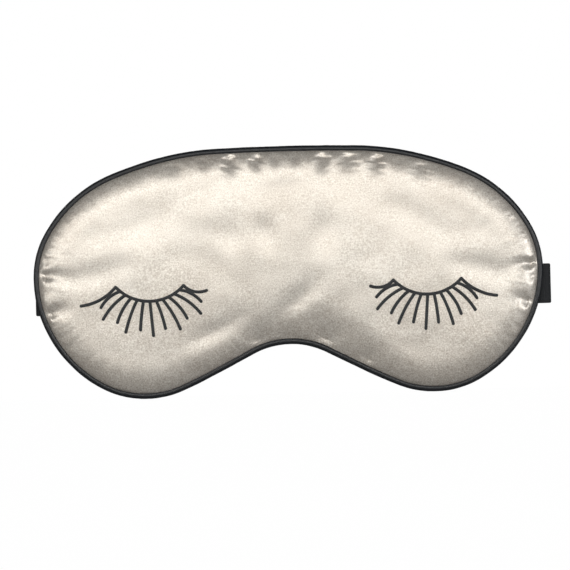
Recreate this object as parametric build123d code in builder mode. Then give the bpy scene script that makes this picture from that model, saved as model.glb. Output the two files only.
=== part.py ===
"""Padded satin sleep mask with a piped edge and an adjustable elastic strap.

The mask stands in the XZ plane as it is worn: +X is to the right of someone who looks at its front, +Z is
up, and +Y points at the wearer. The origin is in the middle of the face side, on the line between the two
strap ends. All sizes are in millimetres.
"""
from build123d import *
from math import cos, radians, sin, sqrt
import os

# --- driving dimensions -------------------------------------------------------------------------------
MASK_WIDTH = 205.0  # over the piping
MASK_HEIGHT = 100.8  # top of the piping to the bottom of the cheek lobes
STRAP_DROP = 8.0  # the strap line below the middle of the height

FRONT_DEPTH = 6.0  # seam plane to the outer face of the front panel
BACK_DEPTH = 4.0  # seam plane to the outer face of the back panel
SATIN_THICKNESS = 0.4
LINER_THICKNESS = 0.6
LAYER_GAP = 0.1  # between layers that lie on each other
EDGE_SOFTNESS = 0.4  # what is left of a panel's depth below its rounded edge

PIPING_DIAMETER = 2.8
PIPING_CLOTH = 0.4
FLANGE_WIDTH = 6.0  # the piping's seam allowance, inside the mask
FILM_THICKNESS = 0.15  # the printed film of the lashes

STRAP_WIDTH = 16.0
STRAP_THICKNESS = 1.2
LOOP_DEPTH = 88.0  # face side to the middle of the strap, at the back of the loop
LOOP_CORNER = 48.0  # radius of the loop's two back corners
TWIST_END = 19.0  # the elastic twists from the seam to here when the loop swings
EXIT_RADIUS = 2.0  # of the strap's centreline where it turns back behind the mask
LEFT_BOW = -0.4  # the strap's outer face past the piping, on each side
RIGHT_BOW = 3.3
ANCHOR_LENGTH = 6.5  # of strap inside the seam

SLIDER_X = -42.0
RING_X = 32.0
SLIDER_LENGTH = 14.0  # along the strap
SLIDER_BAR = 2.2  # width of each bar along the strap
SLIDER_THICKNESS = 1.2
SLIDER_BEND = 0.7  # radius of the bends in the slider's rails
RING_LENGTH = 11.0
RING_WIRE = 1.6
RING_CORNER = 0.5  # of the window
RING_ROUNDING = 0.96  # of the wire's section, which is nearly round
RAIL = 2.0  # width of the slider's top and bottom rails
STRAP_SIDE_GAP = 0.5  # strap edge to a rail
RUN_CLEARANCE = 0.3  # strap face to the slider's pieces, over the whole travel
FOLD_CLEARANCE = 0.1  # between a fold and the slider's bar inside it
RING_SLACK = 0.4  # between a fold and the ring, which lets the ring tilt
STITCH_LAP = 0.1  # between two layers that are sewn together
SEWN_LENGTH = 9.0  # of each folded end, past its bend
TACK_WIDTH = 1.6
TACK_HEIGHT = 12.0
TACK_THICKNESS = 0.3

# --- the lash print -----------------------------------------------------------------------------------
PRINT_CENTRE_X = 55.6
LID_CORNER_Z = -5.1  # from the middle of the mask's height
LID_HALF_WIDTH = 13.6
LID_SAG = 6.0
STROKE = 1.25
LASH_COUNT = 11
LASH_FIRST_ANGLE = -27.0  # of the outermost tip, seen from the middle of the lid's chord
LASH_LAST_ANGLE = -158.0
LASH_REACH_X = 24.0  # the tips lie on an ellipse
LASH_REACH_Z = 19.2
LONG_LASH = 1.03  # long and short lashes, as shares of that ellipse
SHORT_LASH = 0.92
LASH_BOW = 1.1  # how far an outermost lash bows off its straight line
OUTER_WING = (14.0, -7.2)  # from the lid's corner to the wing's tip
INNER_WING = (-9.2, -2.2)
WING_BOW = 1.5

# --- worked out ---------------------------------------------------------------------------------------
PIPING_RADIUS = PIPING_DIAMETER / 2
SEAM_Y = -BACK_DEPTH
SEAM_WIDTH = MASK_WIDTH - PIPING_DIAMETER
SEAM_HEIGHT = MASK_HEIGHT - PIPING_DIAMETER
PANEL_INSET = PIPING_RADIUS + LAYER_GAP
STUFFING_INSET = PIPING_RADIUS + FLANGE_WIDTH + 3 * LAYER_GAP
PANEL_LIFT = PIPING_CLOTH + LAYER_GAP  # seam plane to a panel's rim
ANCHOR_Y = SEAM_Y + PIPING_RADIUS + LAYER_GAP + STRAP_THICKNESS / 2
EXIT_Y = ANCHOR_Y + 1.5 * EXIT_RADIUS  # a short straight follows the bend
LEFT_X = MASK_WIDTH / 2 + LEFT_BOW - STRAP_THICKNESS / 2  # the strap's middle, from the mask's
RIGHT_X = MASK_WIDTH / 2 + RIGHT_BOW - STRAP_THICKNESS / 2
LAP = STRAP_THICKNESS + STITCH_LAP
FOLD_GAP = STRAP_THICKNESS + 2 * FOLD_CLEARANCE + SLIDER_THICKNESS  # between the slider fold's layers
TAIL_Y = LOOP_DEPTH - STRAP_THICKNESS - RUN_CLEARANCE
RETURN_Y = TAIL_Y - FOLD_GAP
INNER_BAR_Y = (TAIL_Y + RETURN_Y) / 2
OUTER_BAR_Y = LOOP_DEPTH + STRAP_THICKNESS / 2 + RUN_CLEARANCE + SLIDER_THICKNESS / 2
RING_Y = (LOOP_DEPTH + RETURN_Y) / 2
RING_FOLD = (LOOP_DEPTH - RETURN_Y) / 2  # radius of the two folds in the ring
RING_FOLD_X = RING_LENGTH / 2 - RING_WIRE - RING_SLACK + RING_FOLD - STRAP_THICKNESS / 2
HARDWARE_HEIGHT = STRAP_WIDTH + 2 * (STRAP_SIDE_GAP + RAIL)
SLIDER_FOLD_X = SLIDER_X - (SLIDER_BAR - SLIDER_THICKNESS) / 2
END_BEND_X = SLIDER_X + SLIDER_BAR / 2 + FOLD_GAP  # the end loop's two layers meet here
END_LOOP_X = END_BEND_X + SEWN_LENGTH
RETURN_END_X = RING_X - RING_FOLD_X - RING_FOLD

# Half of the seam line from the top to the nose, clockwise: shares of the half width and of the height from
# the middle, with the direction there in degrees. Two arcs join each pair, tangent to each other.
HALF_OUTLINE = [
    (0.000, 0.498, 0),
    (0.531, 0.454, -15),
    (0.837, 0.310, -40),
    (1.000, -0.012, -90),
    (0.889, -0.330, -129),
    (0.575, -0.500, 180),
    (0.290, -0.402, 153),
    (0.000, -0.290, 180),
]
SEAM = Plane.XZ.offset(-SEAM_Y)  # its normal points out of the mask's front


def outline_point(share_x, share_z):
    """A point of the seam line in its own plane, whose origin is on the strap line."""
    return Vector(share_x * SEAM_WIDTH / 2, share_z * SEAM_HEIGHT + STRAP_DROP)


def direction(angle):
    return Vector(cos(radians(angle)), sin(radians(angle)))


def biarc_middle(start, start_way, end, end_way):
    """Where two arcs meet that leave start along start_way and reach end along end_way."""
    span = end - start
    both = start_way + end_way
    spread = 2 * (1 - start_way.dot(end_way))
    if spread < 1e-9:
        reach = span.dot(span) / (4 * span.dot(end_way))
    else:
        lean = span.dot(both)
        reach = (sqrt(lean * lean + spread * span.dot(span)) - lean) / spread
    return (start + end + (start_way - end_way) * reach) * 0.5


def seam_face(inset=0.0):
    """The face inside the seam line, moved inwards by inset."""
    with BuildSketch(mode=Mode.PRIVATE) as face:
        with BuildLine():
            for here, there in zip(HALF_OUTLINE, HALF_OUTLINE[1:]):
                start, end = outline_point(*here[:2]), outline_point(*there[:2])
                start_way, end_way = direction(here[2]), direction(there[2])
                middle = biarc_middle(start, start_way, end, end_way)
                first = TangentArc(start, middle, tangent=start_way)
                TangentArc(middle, end, tangent=first % 1)
            mirror(about=Plane.YZ)
        make_face()
        if inset:
            offset(amount=-inset, mode=Mode.REPLACE)
    return face.sketch


def half_pillow(inset, near, depth):
    """A cushion half from near to depth, out of the seam plane, with its far edge rounded over.

    Both distances are towards the front, and so negative for the back half.
    """
    with BuildPart(mode=Mode.PRIVATE) as half:
        with BuildSketch(SEAM.offset(near)):
            add(seam_face(inset))
        extrude(amount=depth - near)
        far = half.faces().sort_by(Axis.Y)[0 if depth > 0 else -1]
        fillet(far.edges(), abs(depth - near) - EDGE_SOFTNESS)
    return half.part


def ribbon(route):
    """A strip of strap on edge, along a route in the XY plane."""
    with BuildPart(mode=Mode.PRIVATE) as strip:
        with BuildSketch():
            trace(route.line, STRAP_THICKNESS)
        extrude(amount=STRAP_WIDTH / 2, both=True)
    return strip.part


def save(part, name):
    part.label = name
    export_step(part, f"parts/{name}.step")


os.makedirs("parts", exist_ok=True)

# --- piping -------------------------------------------------------------------------------------------
# A cotton cord in a strip of bias satin, whose two edges lie flat between the panels.
seam_line = SEAM * seam_face().faces()[0].outer_wire()
tube_plane = Plane(origin=seam_line @ 0, z_dir=seam_line % 0)

with BuildPart() as piping_cord:
    with BuildSketch(tube_plane):
        Circle(PIPING_RADIUS - PIPING_CLOTH - LAYER_GAP / 2)
    sweep(path=seam_line)
save(piping_cord.part, "piping_cord")

with BuildPart() as piping_cover:
    with BuildSketch(SEAM):
        add(seam_face())
        add(seam_face(PIPING_RADIUS + FLANGE_WIDTH), mode=Mode.SUBTRACT)
    extrude(amount=PIPING_CLOTH, both=True)
    with BuildSketch(tube_plane):
        Circle(PIPING_RADIUS)
    sweep(path=seam_line)
    with BuildSketch(tube_plane):
        Circle(PIPING_RADIUS - PIPING_CLOTH)
    sweep(path=seam_line, mode=Mode.SUBTRACT)
save(piping_cover.part, "piping_cover")

# --- panels and filling -------------------------------------------------------------------------------
with BuildPart() as front_panel:
    add(half_pillow(PANEL_INSET, PANEL_LIFT, FRONT_DEPTH))
    add(
        half_pillow(PANEL_INSET + SATIN_THICKNESS, PANEL_LIFT, FRONT_DEPTH - SATIN_THICKNESS),
        mode=Mode.SUBTRACT,
    )
save(front_panel.part, "front_panel")

with BuildPart() as back_panel:
    add(half_pillow(PANEL_INSET, -PANEL_LIFT, -BACK_DEPTH))
    add(
        half_pillow(PANEL_INSET + SATIN_THICKNESS, -PANEL_LIFT, SATIN_THICKNESS - BACK_DEPTH),
        mode=Mode.SUBTRACT,
    )
    with Locations((0, ANCHOR_Y, 0)):  # the strap's two ends go in through the edge
        Box(
            SEAM_WIDTH,
            STRAP_THICKNESS + 2 * LAYER_GAP,
            STRAP_WIDTH + 2 * LAYER_GAP,
            mode=Mode.SUBTRACT,
        )
save(back_panel.part, "back_panel")

FILL_LIFT = max(PANEL_LIFT, LINER_THICKNESS / 2 + LAYER_GAP)
FILL_SKIN = SATIN_THICKNESS + LAYER_GAP
save(half_pillow(STUFFING_INSET, FILL_LIFT, FRONT_DEPTH - FILL_SKIN), "front_wadding")
save(half_pillow(STUFFING_INSET, -FILL_LIFT, FILL_SKIN - BACK_DEPTH), "back_wadding")

with BuildPart() as light_block_liner:
    with BuildSketch(SEAM):
        add(seam_face(STUFFING_INSET))
    extrude(amount=LINER_THICKNESS / 2, both=True)
save(light_block_liner.part, "light_block_liner")


# --- lash prints --------------------------------------------------------------------------------------
def stroke(start, end, bow):
    """A round-ended stroke, whose middle bows off its chord, to the right of the way it goes."""
    chord = end - start
    side = Vector(chord.Y, -chord.X) / chord.length
    with BuildLine(mode=Mode.PRIVATE) as line:
        if abs(bow) < STROKE / 20:
            Line(start, end)
        else:
            ThreePointArc(start, (start + end) / 2 + side * bow, end)
    return line.edge()


def lash_strokes():
    """The strokes of the right-hand print, around the middle of its lid's chord."""
    left, right = Vector(-LID_HALF_WIDTH, 0), Vector(LID_HALF_WIDTH, 0)
    lid = stroke(left, right, LID_SAG)
    yield lid
    for index in range(LASH_COUNT):
        along = index / (LASH_COUNT - 1)
        angle = LASH_FIRST_ANGLE + (LASH_LAST_ANGLE - LASH_FIRST_ANGLE) * along
        reach = LONG_LASH if index % 2 else SHORT_LASH
        way = direction(angle)
        tip = Vector(LASH_REACH_X * way.X, LASH_REACH_Z * way.Y) * reach
        root = lid @ (1 - (index + 1) / (LASH_COUNT + 1))
        yield stroke(root, tip, -LASH_BOW * way.X)
    yield stroke(right, right + Vector(*OUTER_WING), WING_BOW)
    yield stroke(left, left + Vector(*INNER_WING), -WING_BOW)


PRINT_PLANE = SEAM.offset(FRONT_DEPTH)
for side, name in ((1, "right_lash_print"), (-1, "left_lash_print")):
    with BuildPart() as lash_print:
        with BuildSketch(PRINT_PLANE) as strokes:
            with Locations((PRINT_CENTRE_X, LID_CORNER_Z + STRAP_DROP)):
                for line in lash_strokes():
                    SlotArc(line, STROKE)
            if side < 0:
                mirror(about=Plane.YZ, mode=Mode.REPLACE)
        extrude(amount=FILM_THICKNESS)
    save(lash_print.part, name)


# --- strap --------------------------------------------------------------------------------------------
# Its two ends are sewn into the seam behind the piping and turn back there. The left length runs around
# the back, through the slider, and folds in the ring; from there it returns to the slider's inner bar. The
# right length is short, and is folded and sewn in the ring's other end.
for side, middle_x, name in ((-1, LEFT_X, "left"), (1, RIGHT_X, "right")):
    with BuildLine() as anchor_route:
        FilletPolyline(
            (side * (SEAM_WIDTH / 2 - ANCHOR_LENGTH), ANCHOR_Y),
            (side * middle_x, ANCHOR_Y),
            (side * middle_x, EXIT_Y),
            radius=EXIT_RADIUS,
        )
    save(ribbon(anchor_route), f"{name}_strap_anchor")

    with BuildLine() as twist_route:
        Line((side * middle_x, EXIT_Y), (side * middle_x, TWIST_END))
    save(ribbon(twist_route), f"{name}_strap_twist")

fold_x = RING_X - RING_FOLD_X
with BuildLine() as run_route:
    FilletPolyline(
        (-LEFT_X, TWIST_END),
        (-LEFT_X, LOOP_DEPTH),
        (fold_x, LOOP_DEPTH),
        radius=LOOP_CORNER,
    )
    ThreePointArc((fold_x, LOOP_DEPTH), (fold_x + RING_FOLD, RING_Y), (fold_x, RETURN_Y))
    Line((fold_x, RETURN_Y), (RETURN_END_X, RETURN_Y))
save(ribbon(run_route), "strap_run")

with BuildLine() as return_route:
    Line((RETURN_END_X, RETURN_Y), (END_LOOP_X, RETURN_Y))
save(ribbon(return_route), "strap_return_run")

fold_x = RING_X + RING_FOLD_X
tab_bend_x = fold_x + 2 * RING_FOLD
tab_end_x = tab_bend_x + SEWN_LENGTH
with BuildLine() as tab_route:
    FilletPolyline(
        (RIGHT_X, TWIST_END),
        (RIGHT_X, LOOP_DEPTH),
        (fold_x, LOOP_DEPTH),
        radius=LOOP_CORNER,
    )
    ThreePointArc((fold_x, LOOP_DEPTH), (fold_x - RING_FOLD, RING_Y), (fold_x, RETURN_Y))
    FilletPolyline(
        (fold_x, RETURN_Y),
        (fold_x + STRAP_THICKNESS, RETURN_Y),
        (tab_bend_x, LOOP_DEPTH - LAP),
        (tab_end_x, LOOP_DEPTH - LAP),
        radius=STRAP_THICKNESS,
    )
save(ribbon(tab_route), "strap_right_tab")

with BuildLine() as end_route:
    FilletPolyline(
        (END_LOOP_X, RETURN_Y + LAP),
        (END_BEND_X, RETURN_Y + LAP),
        (SLIDER_X + SLIDER_BAR / 2, TAIL_Y),
        (SLIDER_FOLD_X, TAIL_Y),
        radius=STRAP_THICKNESS,
    )
    ThreePointArc(
        (SLIDER_FOLD_X, TAIL_Y),
        (SLIDER_FOLD_X - FOLD_GAP / 2, INNER_BAR_Y),
        (SLIDER_FOLD_X, RETURN_Y),
    )
    Line((SLIDER_FOLD_X, RETURN_Y), (END_LOOP_X, RETURN_Y))
save(ribbon(end_route), "strap_end_loop")


def bartack(x, inner_y, outer_y):
    """Dense stitches across two sewn layers, as they stand on the layers' inner and outer faces."""
    with BuildPart(mode=Mode.PRIVATE) as tack:
        for y in (inner_y - TACK_THICKNESS / 2, outer_y + TACK_THICKNESS / 2):
            with Locations((x, y, 0)):
                Box(TACK_WIDTH, TACK_THICKNESS, TACK_HEIGHT)
    return tack.part


half_strap = STRAP_THICKNESS / 2
save(
    bartack(tab_end_x - SEWN_LENGTH / 3, LOOP_DEPTH - LAP - half_strap, LOOP_DEPTH + half_strap),
    "tab_bartack",
)
save(
    bartack(END_LOOP_X - SEWN_LENGTH / 3, RETURN_Y - half_strap, RETURN_Y + LAP + half_strap),
    "end_bartack",
)

# --- slider and ring ----------------------------------------------------------------------------------
# The slider's two outer bars lie outside the strap and its middle bar inside, so the strap runs straight
# through; its rails bend from one to the other, past the strap's edges.
with BuildPart() as slider_frame:
    outer_x = SLIDER_LENGTH / 2 - SLIDER_BAR / 2
    flat = (SLIDER_BAR - SLIDER_THICKNESS) / 2  # half of a bar's flat width
    bars = ((-outer_x, OUTER_BAR_Y), (0, INNER_BAR_Y), (outer_x, OUTER_BAR_Y))
    with BuildSketch(Plane.XY):
        with Locations(*[(SLIDER_X + x, y) for x, y in bars]):
            SlotOverall(SLIDER_BAR, SLIDER_THICKNESS)
    extrude(amount=HARDWARE_HEIGHT / 2, both=True)
    with BuildLine() as rail_route:
        FilletPolyline(
            (SLIDER_X - outer_x - flat, OUTER_BAR_Y),
            (SLIDER_X - outer_x + flat, OUTER_BAR_Y),
            (SLIDER_X - flat, INNER_BAR_Y),
            (SLIDER_X + flat, INNER_BAR_Y),
            (SLIDER_X + outer_x - flat, OUTER_BAR_Y),
            (SLIDER_X + outer_x + flat, OUTER_BAR_Y),
            radius=SLIDER_BEND,
        )
    for foot in (HARDWARE_HEIGHT / 2 - RAIL, -HARDWARE_HEIGHT / 2):
        with BuildSketch(Plane.XY.offset(foot)):
            trace(rail_route.line, SLIDER_THICKNESS)
        extrude(amount=RAIL)
save(slider_frame.part, "slider_frame")

with BuildPart() as ring:
    with BuildSketch(Plane((RING_X, RING_Y, 0), x_dir=(1, 0, 0), z_dir=(0, -1, 0))):
        RectangleRounded(RING_LENGTH, HARDWARE_HEIGHT, RING_CORNER + RING_WIRE)
        RectangleRounded(
            RING_LENGTH - 2 * RING_WIRE,
            HARDWARE_HEIGHT - 2 * RING_WIRE,
            RING_CORNER,
            mode=Mode.SUBTRACT,
        )
    extrude(amount=RING_WIRE / 2, both=True)
    rims = ring.faces().group_by(Axis.Y)
    fillet(rims[0].edges() + rims[-1].edges(), RING_ROUNDING * RING_WIRE / 2)
save(ring.part, "ring")
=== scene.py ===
"""Looks for a padded satin sleep mask, with its piping, printed lashes and elastic strap."""

from math import atan2, cos, exp, hypot, pi, radians, sin, sqrt

import bmesh
import bpy
from mathutils import Matrix, Vector, noise
from mathutils.bvhtree import BVHTree
from mathutils.kdtree import KDTree


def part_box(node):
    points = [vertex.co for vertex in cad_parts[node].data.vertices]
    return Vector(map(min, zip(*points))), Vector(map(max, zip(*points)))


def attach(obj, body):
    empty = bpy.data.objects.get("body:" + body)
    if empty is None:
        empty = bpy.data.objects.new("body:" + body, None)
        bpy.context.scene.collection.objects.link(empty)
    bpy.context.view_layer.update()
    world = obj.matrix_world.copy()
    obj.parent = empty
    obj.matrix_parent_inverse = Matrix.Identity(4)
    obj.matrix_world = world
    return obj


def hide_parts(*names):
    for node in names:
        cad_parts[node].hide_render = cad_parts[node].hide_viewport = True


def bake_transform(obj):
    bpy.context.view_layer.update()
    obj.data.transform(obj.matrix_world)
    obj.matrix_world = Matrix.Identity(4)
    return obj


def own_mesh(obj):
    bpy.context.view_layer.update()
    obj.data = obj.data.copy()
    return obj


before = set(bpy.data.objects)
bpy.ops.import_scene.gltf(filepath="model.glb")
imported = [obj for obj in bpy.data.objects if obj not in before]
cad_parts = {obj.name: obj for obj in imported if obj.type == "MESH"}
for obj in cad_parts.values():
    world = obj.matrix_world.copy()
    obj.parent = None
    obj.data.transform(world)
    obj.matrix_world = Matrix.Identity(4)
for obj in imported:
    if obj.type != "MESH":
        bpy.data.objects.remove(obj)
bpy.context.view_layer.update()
MM = 0.001


# --- shader maths -------------------------------------------------------------------------------------
class Socket:
    """A node's output in a material, which takes Python's operators."""

    def __init__(self, shader, output):
        self.shader, self.output = shader, output

    def maths(self, operation, *others, swap=False):
        values = (*others, self) if swap else (self, *others)
        return self.shader.add("ShaderNodeMath", {"operation": operation}, dict(enumerate(values)))

    def __add__(self, other):
        return self.maths("ADD", other)

    def __sub__(self, other):
        return self.maths("SUBTRACT", other)

    def __rsub__(self, other):
        return self.maths("SUBTRACT", other, swap=True)

    def __mul__(self, other):
        return self.maths("MULTIPLY", other)

    def __truediv__(self, other):
        return self.maths("DIVIDE", other)

    def sine(self):
        return self.maths("SINE")

    def size(self):
        return self.maths("ABSOLUTE")

    def clamp(self):
        return self.maths("MINIMUM", 1.0).maths("MAXIMUM", 0.0)

    __radd__, __rmul__ = __add__, __mul__


class Shader:
    """One material's node tree."""

    def __init__(self, name):
        self.material = bpy.data.materials.new(name)
        self.material.use_nodes = True
        self.nodes = self.material.node_tree.nodes
        self.links = self.material.node_tree.links
        self.nodes.clear()
        self.result = self.nodes.new("ShaderNodeOutputMaterial")

    def add(self, kind, settings=None, inputs=None, output=0):
        """Adds a node, sets it up and feeds its sockets with numbers, colours or other sockets."""
        node = self.nodes.new(kind)
        for key, value in (settings or {}).items():
            setattr(node, key, value)
        for key, value in (inputs or {}).items():
            if isinstance(value, Socket):
                self.links.new(value.output, node.inputs[key])
            else:
                node.inputs[key].default_value = value
        return Socket(self, node.outputs[output])

    def surface(self, closure):
        self.links.new(closure.output, self.result.inputs["Surface"])
        return self.material

    def place(self):
        """Where a point is on its piece, in metres."""
        return self.add("ShaderNodeTexCoord", output="Object")

    def cloth_place(self):
        """Metres across and along a strip of cloth, from its UV map."""
        return self.add("ShaderNodeTexCoord", output="UV")

    def parts(self, vector):
        split = self.add("ShaderNodeSeparateXYZ", inputs={0: vector})
        return [Socket(self, socket) for socket in split.output.node.outputs]

    def noise(self, vector, scale, detail=2.0, roughness=0.5):
        return self.add(
            "ShaderNodeTexNoise",
            inputs={"Vector": vector, "Scale": scale, "Detail": detail, "Roughness": roughness},
        )

    def stretch(self, vector, x, y, z):
        return self.add("ShaderNodeVectorMath", {"operation": "MULTIPLY"}, {0: vector, 1: (x, y, z)})

    def mix(self, factor, first, second):
        return self.add(
            "ShaderNodeMix",
            {"data_type": "RGBA"},
            {0: factor, 6: first, 7: second},
            output=2,
        )

    def bump(self, height, distance, strength=1.0):
        return self.add(
            "ShaderNodeBump",
            inputs={"Height": height, "Distance": distance, "Strength": strength},
        )

    def principled(self, **sockets):
        return self.add(
            "ShaderNodeBsdfPrincipled",
            inputs={key.replace("_", " "): value for key, value in sockets.items()},
        )


# --- materials ----------------------------------------------------------------------------------------
SATIN_SHADE = (0.42, 0.36, 0.30, 1)
SATIN_LIGHT = (0.85, 0.815, 0.745, 1)
BLACK_CLOTH = (0.0035, 0.0045, 0.0060, 1)
BLACK_WORN = (0.011, 0.013, 0.016, 1)
INK = (0.006, 0.008, 0.009, 1)


def satin(name):
    """Champagne satin: long floats across the cloth, a fine grain and a soft uneven tone."""
    shader = Shader(name)
    place = shader.place()
    across = shader.noise(shader.stretch(place, 260, 260, 2400), 1.0, 3.0, 0.6)
    speckle = shader.noise(place, 1900, 2.0, 0.6)
    cloud = shader.noise(place, 38, 3.0, 0.55)
    tone = (across * 0.5 + speckle * 2.0 + cloud * 0.5 - 1.0).clamp()
    height = across * 0.5 + speckle * 0.5
    return shader.surface(
        shader.principled(
            Base_Color=shader.mix(tone, SATIN_SHADE, SATIN_LIGHT),
            Roughness=0.33 + speckle * 0.18,
            Metallic=0.6,
            Normal=shader.bump(height, 0.00006, 0.55),
        )
    )


def bias_satin(name):
    """Black satin cut on the bias, whose threads slant round the piping."""
    shader = Shader(name)
    across, along, _ = shader.parts(shader.cloth_place())
    threads = ((across + along) * 9000).sine() * 0.5 + 0.5
    pull = shader.noise(shader.stretch(shader.cloth_place(), 250, 700, 1), 1.0, 3.0, 0.6)
    return shader.surface(
        shader.principled(
            Base_Color=shader.mix(pull, BLACK_CLOTH, BLACK_WORN),
            Roughness=0.30 + pull * 0.2,
            Normal=shader.bump(threads * 0.4 + pull, 0.00012, 0.6),
        )
    )


def woven_elastic(name):
    """Black elastic: fine ribs along it, crossed by the weft."""
    shader = Shader(name)
    across, along, _ = shader.parts(shader.cloth_place())
    ribs = (across * (2 * pi / 0.0008)).sine() * 0.5 + 0.5
    weft = (along * (2 * pi / 0.0007)).sine() * 0.5 + 0.5
    fuzz = shader.noise(shader.cloth_place(), 1500, 2.0, 0.6)
    return shader.surface(
        shader.principled(
            Base_Color=shader.mix(ribs * weft * 0.7 + fuzz * 0.3, BLACK_CLOTH, BLACK_WORN),
            Roughness=0.62 + fuzz * 0.2,
            Normal=shader.bump(ribs * 0.7 + weft * 0.4 + fuzz * 0.3, 0.00018, 0.8),
        )
    )


def lash_ink(name):
    """Black transfer film, which takes on the satin's grain."""
    shader = Shader(name)
    grain = shader.noise(shader.place(), 2300, 2.0, 0.6)
    return shader.surface(
        shader.principled(
            Base_Color=shader.mix(grain, INK, BLACK_WORN),
            Roughness=0.48 + grain * 0.15,
            Normal=shader.bump(grain, 0.00005, 0.5),
        )
    )


def moulded_plastic(name):
    shader = Shader(name)
    grain = shader.noise(shader.place(), 900, 3.0, 0.6)
    scuffs = shader.noise(shader.stretch(shader.place(), 300, 300, 60), 1.0, 4.0, 0.7)
    return shader.surface(
        shader.principled(
            Base_Color=shader.mix(scuffs, (0.010, 0.010, 0.011, 1), (0.022, 0.022, 0.024, 1)),
            Roughness=0.22 + scuffs * 0.2,
            Normal=shader.bump(grain, 0.00002, 0.4),
        )
    )


def plain_fibre(name, dark, light, scale):
    """Matte fibre for thread and for what lies inside the mask."""
    shader = Shader(name)
    fibres = shader.noise(shader.place(), scale, 4.0, 0.7)
    return shader.surface(
        shader.principled(
            Base_Color=shader.mix(fibres, dark, light),
            Roughness=0.75 + fibres * 0.15,
            Normal=shader.bump(fibres, 0.0002, 0.6),
        )
    )


SATIN = satin("champagne_satin")
BIAS = bias_satin("black_bias_satin")
ELASTIC = woven_elastic("black_elastic")
LASH_FILM = lash_ink("lash_film")
PLASTIC = moulded_plastic("black_plastic")
THREAD = plain_fibre("black_thread", BLACK_CLOTH, (0.04, 0.042, 0.045, 1), 4000)
WADDING = plain_fibre("white_wadding", (0.75, 0.75, 0.74, 1), (0.93, 0.93, 0.92, 1), 600)
LINER = plain_fibre("black_liner", (0.008, 0.008, 0.008, 1), (0.03, 0.03, 0.03, 1), 1800)


def finish_piece(piece, material, slot, *replaced, body="mask"):
    """Paints a piece and puts it in the place of CAD nodes; the slot argument is not used."""
    piece.data.materials.clear()
    piece.data.materials.append(material)
    for face in piece.data.polygons:
        face.use_smooth = True
    if replaced:
        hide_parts(*replaced)
    if body:
        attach(piece, body)
    return piece


def new_piece(name, mesh):
    piece = bpy.data.objects.new(name, mesh)
    bpy.context.scene.collection.objects.link(piece)
    return piece


def paint_node(node, material):
    """Paints a CAD node that is shown as it is."""
    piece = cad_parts[node]
    piece.data.materials.clear()
    piece.data.materials.append(material)


def size_of(node):
    low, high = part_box(node)
    return [b - a for a, b in zip(low, high)]


def middle_of(node):
    low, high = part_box(node)
    return Vector([(a + b) / 2 for a, b in zip(low, high)])


# --- the seam line ------------------------------------------------------------------------------------
cover_low, cover_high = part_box("piping_cover")
PIPING_RADIUS = (cover_high[1] - cover_low[1]) / 2
SEAM_Y = (cover_high[1] + cover_low[1]) / 2
SEAM_SIDE = cover_high[0] - PIPING_RADIUS
SEAM_TOP = cover_high[2] - PIPING_RADIUS
SEAM_FOOT = cover_low[2] + PIPING_RADIUS
SEAM_TALL = SEAM_TOP - SEAM_FOOT
SEAM_MIDDLE_Z = (SEAM_TOP + SEAM_FOOT) / 2
FRONT_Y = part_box("front_panel")[0][1]
BACK_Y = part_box("back_panel")[1][1]
ROUND_COUNT = 720  # points around the seam

# Half of the seam line, as in the CAD: shares of the half width and of the height, and the direction there.
HALF_OUTLINE = [
    (0.000, 0.498, 0),
    (0.531, 0.454, -15),
    (0.837, 0.310, -40),
    (1.000, -0.012, -90),
    (0.889, -0.330, -129),
    (0.575, -0.500, 180),
    (0.290, -0.402, 153),
    (0.000, -0.290, 180),
]


def arc_points(start, way, end, count):
    """Points on the arc from start, which it leaves along way, to end, without the last."""
    chord = end - start
    turn = 2 * atan2(way.x * chord.y - way.y * chord.x, way.dot(chord))
    points = []
    for index in range(count):
        part = index / count
        if abs(turn) < 1e-6:
            points.append(start + chord * part)
            continue
        reach = chord.length * sin(turn * part / 2) / sin(turn / 2)
        points.append(start + Matrix.Rotation(turn * part / 2, 2) @ way * reach)
    return points, Matrix.Rotation(turn, 2) @ way


def half_seam():
    """The seam line's right half from the top to the foot, two arcs between each pair of knots."""
    points = []
    for here, there in zip(HALF_OUTLINE, HALF_OUTLINE[1:]):
        start, end = (
            Vector((x * SEAM_SIDE, SEAM_MIDDLE_Z + z * SEAM_TALL)) for x, z, _ in (here, there)
        )
        way, end_way = (Vector((cos(radians(a)), sin(radians(a)))) for _, _, a in (here, there))
        span, both = end - start, way + end_way
        spread = 2 * (1 - way.dot(end_way))
        if spread < 1e-9:
            reach = span.dot(span) / (4 * span.dot(end_way))
        else:
            lean = span.dot(both)
            reach = (sqrt(lean * lean + spread * span.dot(span)) - lean) / spread
        middle = (start + end + (way - end_way) * reach) * 0.5
        first, middle_way = arc_points(start, way, middle, 60)
        second, _ = arc_points(middle, middle_way, end, 60)
        points += first + second
    points.append(Vector((0, SEAM_MIDDLE_Z + HALF_OUTLINE[-1][1] * SEAM_TALL)))
    return points


def even_loop(points, count):
    """count points, evenly spaced along a closed loop."""
    lengths = [0.0]
    closed = points + points[:1]
    for a, b in zip(closed, closed[1:]):
        lengths.append(lengths[-1] + (b - a).length)
    spaced, at = [], 0
    for index in range(count):
        want = lengths[-1] * index / count
        while lengths[at + 1] < want:
            at += 1
        step = lengths[at + 1] - lengths[at]
        spaced.append(closed[at].lerp(closed[at + 1], (want - lengths[at]) / step if step else 0))
    return spaced, lengths[-1]


right_half = half_seam()
left_half = [Vector((-p.x, p.y)) for p in reversed(right_half[1:-1])]
seam, seam_length = even_loop(right_half + left_half, ROUND_COUNT)
ring_step = seam_length / ROUND_COUNT


def outward(index):
    ahead = seam[(index + 1) % ROUND_COUNT] - seam[index - 1]
    return Vector((-ahead.y, ahead.x)).normalized()


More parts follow.
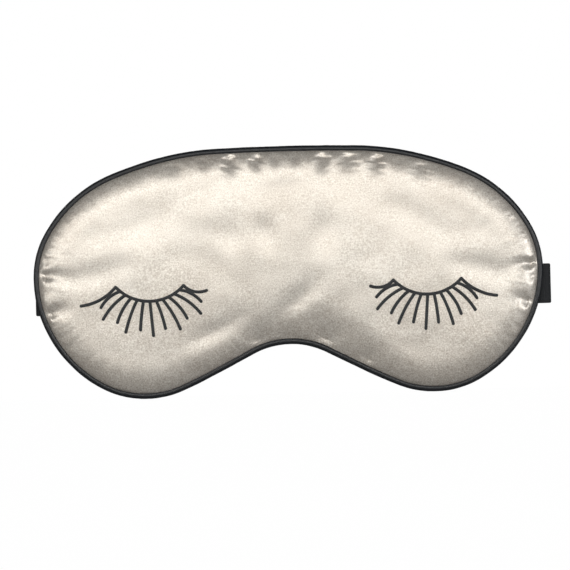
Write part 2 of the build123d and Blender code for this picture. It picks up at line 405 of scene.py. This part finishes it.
# --- padded panels ------------------------------------------------------------------------------------
# Each gather pulls the cloth in at the seam: its nearest place there, how deep, how wide and how far in.
FRONT_GATHERS = [
    ((-0.0460, 0.056), 0.9, 1.8, 6.0),
    ((-0.0330, 0.057), 0.7, 1.4, 5.0),
    ((-0.0225, 0.058), 2.3, 1.5, 8.0),
    ((-0.0115, 0.058), 1.8, 1.3, 7.0),
    ((-0.0040, 0.058), 0.8, 1.2, 5.0),
    ((0.0045, 0.058), 0.9, 1.2, 5.0),
    ((0.0150, 0.058), 2.2, 1.5, 8.0),
    ((0.0250, 0.058), 1.8, 1.9, 9.0),
    ((0.0375, 0.058), 2.2, 1.4, 8.0),
    ((0.0470, 0.056), 0.9, 1.4, 5.0),
    ((0.0560, 0.054), 1.2, 1.9, 7.0),
    ((-0.1010, 0.0085), 1.9, 1.3, 8.0),
    ((-0.1000, -0.0085), 1.4, 1.5, 8.0),
    ((-0.1010, 0.0150), 0.8, 1.2, 5.0),
    ((0.1010, 0.0085), 2.1, 1.3, 8.0),
    ((0.1000, -0.0085), 1.4, 1.5, 8.0),
    ((0.1010, 0.0030), 0.8, 1.2, 5.0),
    ((0.0140, -0.0220), 1.2, 2.2, 8.0),
    ((-0.0120, -0.0210), 1.0, 2.0, 8.0),
    ((0.0300, -0.0300), 0.9, 2.0, 8.0),
]
# Soft hollows in the padding: middle, depth, half widths along and across, and the turn in degrees.
FRONT_HOLLOWS = [
    (Vector((-0.0235, 0.0235)), 0.6, 6.0, 8.0, 0),
    (Vector((-0.0090, 0.0235)), 0.5, 4.5, 7.0, 15),
    (Vector((0.0140, 0.0230)), 0.6, 5.0, 8.0, -10),
    (Vector((0.0030, -0.0050)), 0.8, 10.0, 4.2, 45),
    (Vector((-0.0260, -0.0150)), 0.6, 12.0, 4.5, 24),
    (Vector((-0.0780, 0.0080)), 0.5, 16.0, 5.0, 10),
    (Vector((0.0800, 0.0060)), 0.6, 14.0, 5.0, -14),
    (Vector((0.0480, 0.0300)), 0.5, 18.0, 6.0, -25),
    (Vector((-0.0560, 0.0290)), 0.5, 16.0, 6.0, 22),
]
BACK_GATHERS = [((side * 0.101, z), 0.7, 1.8, 7.0) for side in (-1, 1) for z in (-0.0085, 0.0085)]
BACK_HOLLOWS = [(Vector((x, 0.006)), 0.5, 26.0, 18.0, 0) for x in (-0.045, 0.045)]
EDGE_REACH = 11.0  # the padding's edge rounds over this far from the seam, in millimetres
CROWN_REACH = 46.0  # and its middle still rises up to here
CROWN_SHARE = 0.27
GATHER_START = 2.6  # a gather reaches its full depth this far in from the seam
NOSE_SPOT = Vector((0.011, -0.026))  # around here the edge slopes down over a longer way
NOSE_SPAN = 0.023
NOSE_SLOPE = 1.7
SEAM_RIPPLE = 0.48  # depth of the small uneven puckers all along the seam
SETTLED_REACH = 14  # lumps and hollows have their full depth this far in
LUMP_HEIGHT = 0.30  # slow unevenness of the wadding, in millimetres
LUMP_DROP = 0.25  # and the room that it takes below the crown
LEAST_HEIGHT = 0.10
SPINE = 0.60  # the rings close on a line this share of the outline's half width
SPINE_LIFT = 0.004
RING_COUNT = 70
RING_CROWDING = 1.5  # rings lie closer together near the seam
LINING_STEP = 10  # the hidden lining has one ring for this many of the shown cloth


def gather(spot, depth, width, reach, inset, around):
    """How far a gather pulls in a point that lies inset from the seam at around, in millimetres."""
    away = abs(around - spot)
    away = min(away, seam_length - away) * 1000
    spread = width * (1 + inset / 5)
    return depth * exp(-((away / spread) ** 2) - (inset / reach) ** 2) * min(inset / GATHER_START, 1)


def hollow(spot, point, depth, long, short, turn):
    away = (point - spot) * 1000
    a = away.x * cos(radians(turn)) + away.y * sin(radians(turn))
    b = away.y * cos(radians(turn)) - away.x * sin(radians(turn))
    return depth * exp(-((a / long) ** 2) - (b / short) ** 2)


def puff(point, inset, around, rise, gathers, hollows):
    """The height of the padded cloth over its rim, in millimetres, inset from the seam."""
    slope = exp(-(((point - NOSE_SPOT).length / NOSE_SPAN) ** 2))
    edge = (1 - (1 - min(inset / (EDGE_REACH * (1 + NOSE_SLOPE * slope)), 1)) ** 2.4) ** 0.6
    crown = 1 - (1 - min(inset / CROWN_REACH, 1)) ** 2
    height = rise * ((1 - CROWN_SHARE) * edge + CROWN_SHARE * crown)
    settled = min(inset / SETTLED_REACH, 1)
    ripple = noise.noise(Vector((around * 260, inset * 0.10, 3.7)))
    ripple += 0.6 * noise.noise(Vector((around * 640, inset * 0.18, 9.1)))
    height += SEAM_RIPPLE * ripple * exp(-inset / 5) * min(inset, 1)
    lumps = noise.noise(Vector((point.x * 34, point.y * 46, 1.3)))
    lumps += 0.5 * noise.noise(Vector((point.x * 90, point.y * 110, 5.1)))
    height += LUMP_HEIGHT * lumps * settled - LUMP_DROP * settled
    height -= sum(gather(*facts, inset, around) for facts in gathers)
    height -= sum(hollow(spot, point, *rest) for spot, *rest in hollows) * settled
    return max(min(height, rise), LEAST_HEIGHT)


seam_tree = KDTree(ROUND_COUNT)
for index, point in enumerate(seam):
    seam_tree.insert((point.x, 0, point.y), index)
seam_tree.balance()


def nearest_seam(x, z):
    """How far along the seam line its nearest point is, and the distance to it, in metres."""
    _, index, distance = seam_tree.find((x, 0, z))
    return index * ring_step, distance


def padded_half(name, inset, rim_y, far_y, gathers=(), hollows=()):
    """A padded half: rings of cloth that close on a line along the middle, over a flat lining."""
    mesh = bmesh.new()
    rise = abs(far_y - rim_y) * 1000
    sign = 1 if far_y > rim_y else -1
    placed = [(nearest_seam(*spot)[0], *facts) for spot, *facts in gathers]
    rings, lining = [], []
    for ring in range(RING_COUNT + 1):
        share = (ring / RING_COUNT) ** RING_CROWDING
        shown, hidden = [], []
        for index, line_point in enumerate(seam):
            edge = line_point - outward(index) * inset
            core = Vector((line_point.x * SPINE, SEAM_MIDDLE_Z + SPINE_LIFT))
            point = edge.lerp(core, share)
            around, distance = nearest_seam(point.x, point.y)
            depth_in = max((distance - inset) * 1000, 0) if ring else 0
            height = puff(point, depth_in, around, rise, placed, hollows) if ring else 0
            shown.append(mesh.verts.new((point.x, rim_y + sign * height * MM, point.y)))
            if ring and ring % LINING_STEP == 0:
                hidden.append(mesh.verts.new((point.x, rim_y, point.y)))
        rings.append(shown)
        if hidden:
            lining.append(hidden)
    for layers in (rings, [rings[0], *lining]):
        for near, far in zip(layers, layers[1:]):
            for index in range(ROUND_COUNT):
                after = (index + 1) % ROUND_COUNT
                mesh.faces.new((near[index], near[after], far[after], far[index]))
    bmesh.ops.remove_doubles(mesh, verts=mesh.verts, dist=0.00002)
    bmesh.ops.recalc_face_normals(mesh, faces=mesh.faces)
    data = bpy.data.meshes.new(name)
    mesh.to_mesh(data)
    mesh.free()
    return new_piece(name, data)


LAYER = 0.0005  # the rims of the panels lie this far from the seam plane
TUCK = 0.0007  # the panels reach this far under the piping's edge
front_satin = padded_half(
    "front_satin",
    PIPING_RADIUS - TUCK,
    SEAM_Y - LAYER,
    FRONT_Y,
    FRONT_GATHERS,
    FRONT_HOLLOWS,
)
finish_piece(front_satin, SATIN, "satin", "front_panel")
back_satin = padded_half(
    "back_satin",
    PIPING_RADIUS - TUCK,
    SEAM_Y + LAYER,
    BACK_Y,
    BACK_GATHERS,
    BACK_HOLLOWS,
)
finish_piece(back_satin, SATIN, "satin", "back_panel")

# --- piping -------------------------------------------------------------------------------------------
PIPING_SIDES = 18
PIPING_SWELL = 0.05  # share of the radius that its thickness varies by
PIPING_PULL = 0.03  # and by which the cloth pulls in between stitches
PIPING_SWAY = 0.00014  # metres that it leaves its line by


def piping():
    """The bias strip round its cord, a little uneven as sewn cloth is, with a UV map in metres."""
    mesh = bmesh.new()
    uv = mesh.loops.layers.uv.new("cloth")
    hoops = []
    for index, point in enumerate(seam):
        way = outward(index)
        around = index * ring_step
        swell = 1 + PIPING_SWELL * noise.noise(Vector((around * 120, 0, 0)))
        sway = PIPING_SWAY * noise.noise(Vector((around * 60, 4, 0)))
        hoop = []
        for side in range(PIPING_SIDES):
            angle = 2 * pi * side / PIPING_SIDES
            pull = PIPING_PULL * noise.noise(Vector((around * 520 + side * 0.5, side * 0.4, 2)))
            radius = min(PIPING_RADIUS * (swell + pull) - 0.00002, PIPING_RADIUS)
            spot = point + way * (radius * cos(angle) + min(sway, 0))
            hoop.append(mesh.verts.new((spot.x, SEAM_Y + radius * sin(angle), spot.y)))
        hoops.append(hoop)
    for index in range(ROUND_COUNT):
        near, far = hoops[index], hoops[(index + 1) % ROUND_COUNT]
        for side in range(PIPING_SIDES):
            after = (side + 1) % PIPING_SIDES
            face = mesh.faces.new((near[side], near[after], far[after], far[side]))
            corners = ((side, 0), (side + 1, 0), (side + 1, 1), (side, 1))
            for loop, (turn, step) in zip(face.loops, corners):
                arc = 2 * pi * PIPING_RADIUS * turn / PIPING_SIDES
                loop[uv].uv = (arc, (index + step) * ring_step)
    bmesh.ops.recalc_face_normals(mesh, faces=mesh.faces)
    data = bpy.data.meshes.new("piping")
    mesh.to_mesh(data)
    mesh.free()
    return new_piece("piping", data)


finish_piece(piping(), BIAS, "black_satin", "piping_cover", "piping_cord")


# --- lash prints --------------------------------------------------------------------------------------
FILM_LIFT = 0.00004
RAY_START = 0.02  # rays start this far in front of the satin
FILM_STEP = 0.0007  # no edge of the film is longer, so that it follows the cloth


def tree_of(piece):
    mesh = bmesh.new()
    mesh.from_mesh(piece.data)
    tree = BVHTree.FromBMesh(mesh)
    mesh.free()
    return tree


def lay_film(node, name):
    """The print's own outline, laid on the padded satin."""
    mesh = bmesh.new()
    mesh.from_mesh(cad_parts[node].data)
    bmesh.ops.remove_doubles(mesh, verts=mesh.verts, dist=0.000001)
    for _ in range(6):
        long_edges = [e for e in mesh.edges if e.calc_length() > FILM_STEP]
        if not long_edges:
            break
        bmesh.ops.subdivide_edges(mesh, edges=long_edges, cuts=1)
        bmesh.ops.triangulate(mesh, faces=mesh.faces)
    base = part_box(node)[1][1]
    for vert in mesh.verts:
        start = Vector((vert.co.x, FRONT_Y - RAY_START, vert.co.z))
        hit = front_tree.ray_cast(start, Vector((0, 1, 0)))[0]
        vert.co.y = hit.y - FILM_LIFT - (base - vert.co.y)
    data = bpy.data.meshes.new(name)
    mesh.to_mesh(data)
    mesh.free()
    return finish_piece(new_piece(name, data), LASH_FILM, "print", node)


front_tree = tree_of(front_satin)
lay_film("left_lash_print", "left_lashes")
lay_film("right_lash_print", "right_lashes")

# --- what lies inside ---------------------------------------------------------------------------------
WADDING_INSET = 0.008
FRONT_CLEARANCE = 0.0028  # between the wadding and the satin's highest place
BACK_CLEARANCE = 0.0016
for name, node, rim, far in (
    ("front_pad", "front_wadding", SEAM_Y - LAYER, FRONT_Y + FRONT_CLEARANCE),
    ("back_pad", "back_wadding", SEAM_Y + LAYER, BACK_Y - BACK_CLEARANCE),
):
    pad = padded_half(name, WADDING_INSET, rim, far)
    finish_piece(pad, WADDING, "wadding", node)
paint_node("light_block_liner", LINER)

# --- strap --------------------------------------------------------------------------------------------
STRAP_THICK, _, STRAP_WIDE = size_of("left_strap_twist")
LOOP_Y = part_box("strap_run")[1][1] - STRAP_THICK / 2
ANCHOR_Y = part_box("left_strap_anchor")[0][1] + STRAP_THICK / 2
RETURN_Y = middle_of("strap_return_run").y
FOLD_RADIUS = (LOOP_Y - RETURN_Y) / 2
EXIT_RADIUS = 0.0014
SEAM_START = 0.0028  # the elastic shows from this far inside the seam line
LOOP_CORNER = 0.048
STEP = 0.0012  # between the cuts along a strap
ARC_CUTS = 16
TACK_PROUD = 0.0003  # the bar tacks stand out of the elastic by this
TAIL_PAST_TACK = 0.006  # the folded tail ends this far past the middle of its tack
BAR_HALF = 0.0011  # from the slider's middle to the elastic's bend beside its bar


def rounded(points, radii):
    """A route through points of the XY plane with its corners rounded, as close points."""
    route = [Vector(points[0])]
    for before, corner, after, radius in zip(points, points[1:], points[2:], radii):
        before, corner, after = Vector(before), Vector(corner), Vector(after)
        way_in, way_out = (corner - before).normalized(), (after - corner).normalized()
        turn = atan2(way_in.x * way_out.y - way_in.y * way_out.x, way_in.dot(way_out))
        start = corner - way_in * abs(radius * sin(turn / 2) / cos(turn / 2))
        side = Vector((-way_in.y, way_in.x)) * (1 if turn > 0 else -1)
        centre = start + side * radius
        count = max(int(abs(turn) * radius / STEP), 8)
        for index in range(count + 1):
            route.append(centre + Matrix.Rotation(turn * index / count, 2) @ (start - centre))
    route.append(Vector(points[-1]))
    return route


def evened(route, step):
    """The route cut so that no stretch is longer than step."""
    cut = [route[0]]
    for point in route[1:]:
        gap = (point - cut[-1]).length
        if gap < 1e-7:
            continue
        count = max(int(gap / step), 1)
        start = cut[-1]
        cut += [start.lerp(point, (index + 1) / count) for index in range(count)]
    return cut


def section(width, thick):
    """A strap's cross-section: flat faces and soft round edges, across then through."""
    edge = thick / 2
    points = []
    for side in (1, -1):
        for index in range(7):
            angle = -pi / 2 + pi * index / 6
            points.append((side * (width / 2 - edge + edge * cos(angle)), side * edge * sin(angle)))
        for index in range(1, 12):
            points.append((side * (width / 2 - edge) * (1 - index / 6), side * edge))
    return points


def strap(name, route):
    """A strip of elastic on edge along a route, with a UV map in metres."""
    route = evened(route, STEP)
    outline = section(STRAP_WIDE, STRAP_THICK)
    count = len(outline)
    mesh = bmesh.new()
    uv = mesh.loops.layers.uv.new("cloth")
    cuts, lengths = [], [0.0]
    for index, point in enumerate(route):
        if index:
            lengths.append(lengths[-1] + (point - route[index - 1]).length)
        ahead = route[min(index + 1, len(route) - 1)] - route[max(index - 1, 0)]
        side = Vector((-ahead.y, ahead.x)).normalized()
        cuts.append(
            [mesh.verts.new((point.x + side.x * t, point.y + side.y * t, a)) for a, t in outline]
        )
    reach = [0.0]
    for (a, b), (c, d) in zip(outline, outline[1:] + outline[:1]):
        reach.append(reach[-1] + hypot(c - a, d - b))
    for index in range(len(route) - 1):
        for spot in range(count):
            after = (spot + 1) % count
            near, far = cuts[index], cuts[index + 1]
            face = mesh.faces.new((near[spot], near[after], far[after], far[spot]))
            corners = (
                (reach[spot], lengths[index]),
                (reach[spot + 1], lengths[index]),
                (reach[spot + 1], lengths[index + 1]),
                (reach[spot], lengths[index + 1]),
            )
            for loop, corner in zip(face.loops, corners):
                loop[uv].uv = corner
    for end in (cuts[0], cuts[-1]):
        mesh.faces.new(end)
    bmesh.ops.recalc_face_normals(mesh, faces=mesh.faces)
    data = bpy.data.meshes.new(name)
    mesh.to_mesh(data)
    mesh.free()
    return new_piece(name, data)


def arc(centre, radius, first, last):
    """Points round centre from the first angle to the last, in degrees."""
    turns = [index / ARC_CUTS for index in range(ARC_CUTS + 1)]
    angles = [radians(first + (last - first) * turn) for turn in turns]
    return [Vector((centre[0] + radius * cos(a), centre[1] + radius * sin(a))) for a in angles]


left_x = middle_of("left_strap_twist").x
right_x = middle_of("right_strap_twist").x
ring_y = middle_of("ring").y
left_fold_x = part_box("strap_run")[1][0] - FOLD_RADIUS - STRAP_THICK / 2
right_fold_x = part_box("strap_right_tab")[0][0] + FOLD_RADIUS + STRAP_THICK / 2

left_route = rounded(
    [
        (SEAM_START - SEAM_SIDE, SEAM_Y + SEAM_START / 3),
        (SEAM_START / 2 - SEAM_SIDE, ANCHOR_Y),
        (left_x, ANCHOR_Y),
        (left_x, LOOP_Y),
        (left_fold_x, LOOP_Y),
    ],
    [SEAM_START / 4, EXIT_RADIUS, LOOP_CORNER],
)
left_route += arc((left_fold_x, ring_y), FOLD_RADIUS, 90, -90)
left_route.append(Vector((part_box("strap_return_run")[1][0], RETURN_Y)))
long_elastic = strap("long_elastic", left_route)
finish_piece(
    long_elastic,
    ELASTIC,
    "elastic",
    "left_strap_anchor",
    "left_strap_twist",
    "strap_run",
    body=None,
)

tack_x = middle_of("tab_bartack").x
tail_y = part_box("tab_bartack")[0][1] + TACK_PROUD + STRAP_THICK / 2
tail_end_x = tack_x + TAIL_PAST_TACK
right_route = rounded(
    [
        (SEAM_SIDE - SEAM_START, SEAM_Y + SEAM_START / 3),
        (SEAM_SIDE - SEAM_START / 2, ANCHOR_Y),
        (right_x, ANCHOR_Y),
        (right_x, LOOP_Y),
        (right_fold_x, LOOP_Y),
    ],
    [SEAM_START / 4, EXIT_RADIUS, LOOP_CORNER],
)
right_route += arc((right_fold_x, ring_y), FOLD_RADIUS, 90, 270)
right_route += rounded(
    [
        (right_fold_x, RETURN_Y),
        (right_fold_x + STRAP_THICK, RETURN_Y),
        (right_fold_x + 2 * FOLD_RADIUS, tail_y),
        (tail_end_x, tail_y),
    ],
    [STRAP_THICK, STRAP_THICK],
)[1:]
short_elastic = strap("short_elastic", right_route)
finish_piece(
    short_elastic,
    ELASTIC,
    "elastic",
    "right_strap_anchor",
    "right_strap_twist",
    "strap_right_tab",
    body=None,
)
for piece in (long_elastic, short_elastic):
    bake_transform(piece)

return_low, return_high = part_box("strap_return_run")
return_route = [Vector((return_low[0], RETURN_Y)), Vector((return_high[0], RETURN_Y))]
return_elastic = strap("return_elastic", return_route)
finish_piece(return_elastic, ELASTIC, "elastic", "strap_return_run", body="strap")
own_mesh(return_elastic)

end_low, end_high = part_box("strap_end_loop")
fold_gap = end_high[1] - end_low[1] - STRAP_THICK
end_fold_x = end_low[0] + fold_gap / 2 + STRAP_THICK / 2
end_tail_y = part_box("end_bartack")[1][1] - TACK_PROUD - STRAP_THICK / 2
bar_edge_x = middle_of("slider_frame").x + BAR_HALF
end_route = rounded(
    [
        (end_high[0], end_tail_y),
        (bar_edge_x + fold_gap, end_tail_y),
        (bar_edge_x, RETURN_Y + fold_gap),
        (end_fold_x, RETURN_Y + fold_gap),
    ],
    [STRAP_THICK, STRAP_THICK],
)
end_route += arc((end_fold_x, RETURN_Y + fold_gap / 2), fold_gap / 2, 90, 270)
end_route.append(Vector((end_high[0], RETURN_Y)))
finish_piece(strap("end_elastic", end_route), ELASTIC, "elastic", "strap_end_loop", body="slider")


# --- bar tacks ----------------------------------------------------------------------------------------
TACK_TURNS = 17
THREAD_RADIUS = 0.00016


def bartack(name, node, body):
    """Zigzag stitches on both faces of two sewn layers."""
    low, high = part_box(node)
    curve = bpy.data.curves.new(name, "CURVE")
    curve.dimensions = "3D"
    curve.bevel_depth = THREAD_RADIUS
    curve.bevel_resolution = 2
    curve.use_fill_caps = True
    for y in (low[1] + THREAD_RADIUS, high[1] - THREAD_RADIUS):
        line = curve.splines.new("POLY")
        line.points.add(2 * TACK_TURNS)
        for index, point in enumerate(line.points):
            along = index / (2 * TACK_TURNS)
            x = (low[0] if index % 2 else high[0]) + THREAD_RADIUS * (1 if index % 2 else -1)
            z = low[2] + THREAD_RADIUS + (high[2] - low[2] - 2 * THREAD_RADIUS) * along
            point.co = (x, y, z, 1)
    shape = bpy.data.objects.new(name + "_line", curve)
    bpy.context.scene.collection.objects.link(shape)
    mesh = bpy.data.meshes.new_from_object(shape)
    bpy.data.objects.remove(shape)
    mesh.name = name
    return finish_piece(new_piece(name, mesh), THREAD, "thread", node, body=body)


bartack("tab_stitches", "tab_bartack", "strap")
bartack("end_stitches", "end_bartack", "slider")

paint_node("slider_frame", PLASTIC)
paint_node("ring", PLASTIC)

# --- floor, light and camera --------------------------------------------------------------------------
FLOOR_Z = -0.16
bpy.ops.object.select_all(action="DESELECT")
bpy.ops.mesh.primitive_plane_add(size=6, location=(0, 0, FLOOR_Z))
floor = bpy.context.object
floor.name = "floor"
paint = Shader("floor_paint")
camera_ray = paint.add("ShaderNodeLightPath", output="Is Camera Ray")
matte = paint.add("ShaderNodeBsdfDiffuse", inputs={"Color": (0.28, 0.28, 0.28, 1)})
glow = paint.add("ShaderNodeEmission", inputs={"Color": (1, 1, 1, 1), "Strength": 1.0})
floor.data.materials.append(
    paint.surface(paint.add("ShaderNodeMixShader", inputs={0: camera_ray * 0.995, 1: matte, 2: glow}))
)

world = bpy.data.worlds.new("studio")
bpy.context.scene.world = world
world.use_nodes = True
tree = world.node_tree
tree.nodes.clear()
out = tree.nodes.new("ShaderNodeOutputWorld")
path = tree.nodes.new("ShaderNodeLightPath")
soft = tree.nodes.new("ShaderNodeBackground")
soft.inputs["Color"].default_value = (0.80, 0.82, 0.86, 1)
soft.inputs["Strength"].default_value = 0.09
white = tree.nodes.new("ShaderNodeBackground")
white.inputs["Strength"].default_value = 1.0
white.inputs["Color"].default_value = (1, 1, 1, 1)
blend = tree.nodes.new("ShaderNodeMixShader")
tree.links.new(path.outputs["Is Camera Ray"], blend.inputs[0])
tree.links.new(soft.outputs[0], blend.inputs[1])
tree.links.new(white.outputs[0], blend.inputs[2])
tree.links.new(blend.outputs[0], out.inputs["Surface"])


def softbox(name, spot, target, size, power, colour):
    """A square lamp at spot that faces target."""
    lamp = bpy.data.lights.new(name, "AREA")
    lamp.shape = "RECTANGLE"
    lamp.size, lamp.size_y = size
    lamp.energy = power
    lamp.color = colour
    holder = bpy.data.objects.new(name, lamp)
    holder.location = spot
    holder.rotation_euler = (Vector(target) - Vector(spot)).to_track_quat("-Z", "Y").to_euler()
    bpy.context.scene.collection.objects.link(holder)


softbox("key", (-0.10, -1.0, 0.24), (0, 0, 0.0), (1.6, 0.34), 7.8, (1, 0.99, 0.97))
softbox("left", (-0.95, -0.65, 0.12), (0, 0, 0), (0.3, 0.4), 1.6, (1, 0.98, 0.95))
softbox("right", (0.95, -0.65, 0.12), (0, 0, 0), (0.3, 0.4), 3.6, (0.97, 0.98, 1))
softbox("back", (0.2, 1.0, 0.25), (0, 0.05, 0), (1.2, 0.3), 6.0, (1, 1, 1))

FRAME_WIDTH = 0.228  # what the view takes in at the mask
DISTANCE = 1.1
AIM = (-0.0014, 0, 0.0020)
ROLL = radians(-1.5)
camera_data = bpy.data.cameras.new("camera")
camera_data.sensor_width = 36
camera_data.lens = 36 * DISTANCE / FRAME_WIDTH
camera_data.clip_end = 20
camera = bpy.data.objects.new("camera", camera_data)
bpy.context.scene.collection.objects.link(camera)
turn = Matrix.Rotation(radians(90), 4, "X") @ Matrix.Rotation(ROLL, 4, "Z")
camera.matrix_world = Matrix.Translation((AIM[0], FRONT_Y - DISTANCE, AIM[2])) @ turn
bpy.context.scene.camera = camera
bpy.context.scene.view_settings.view_transform = "Standard"
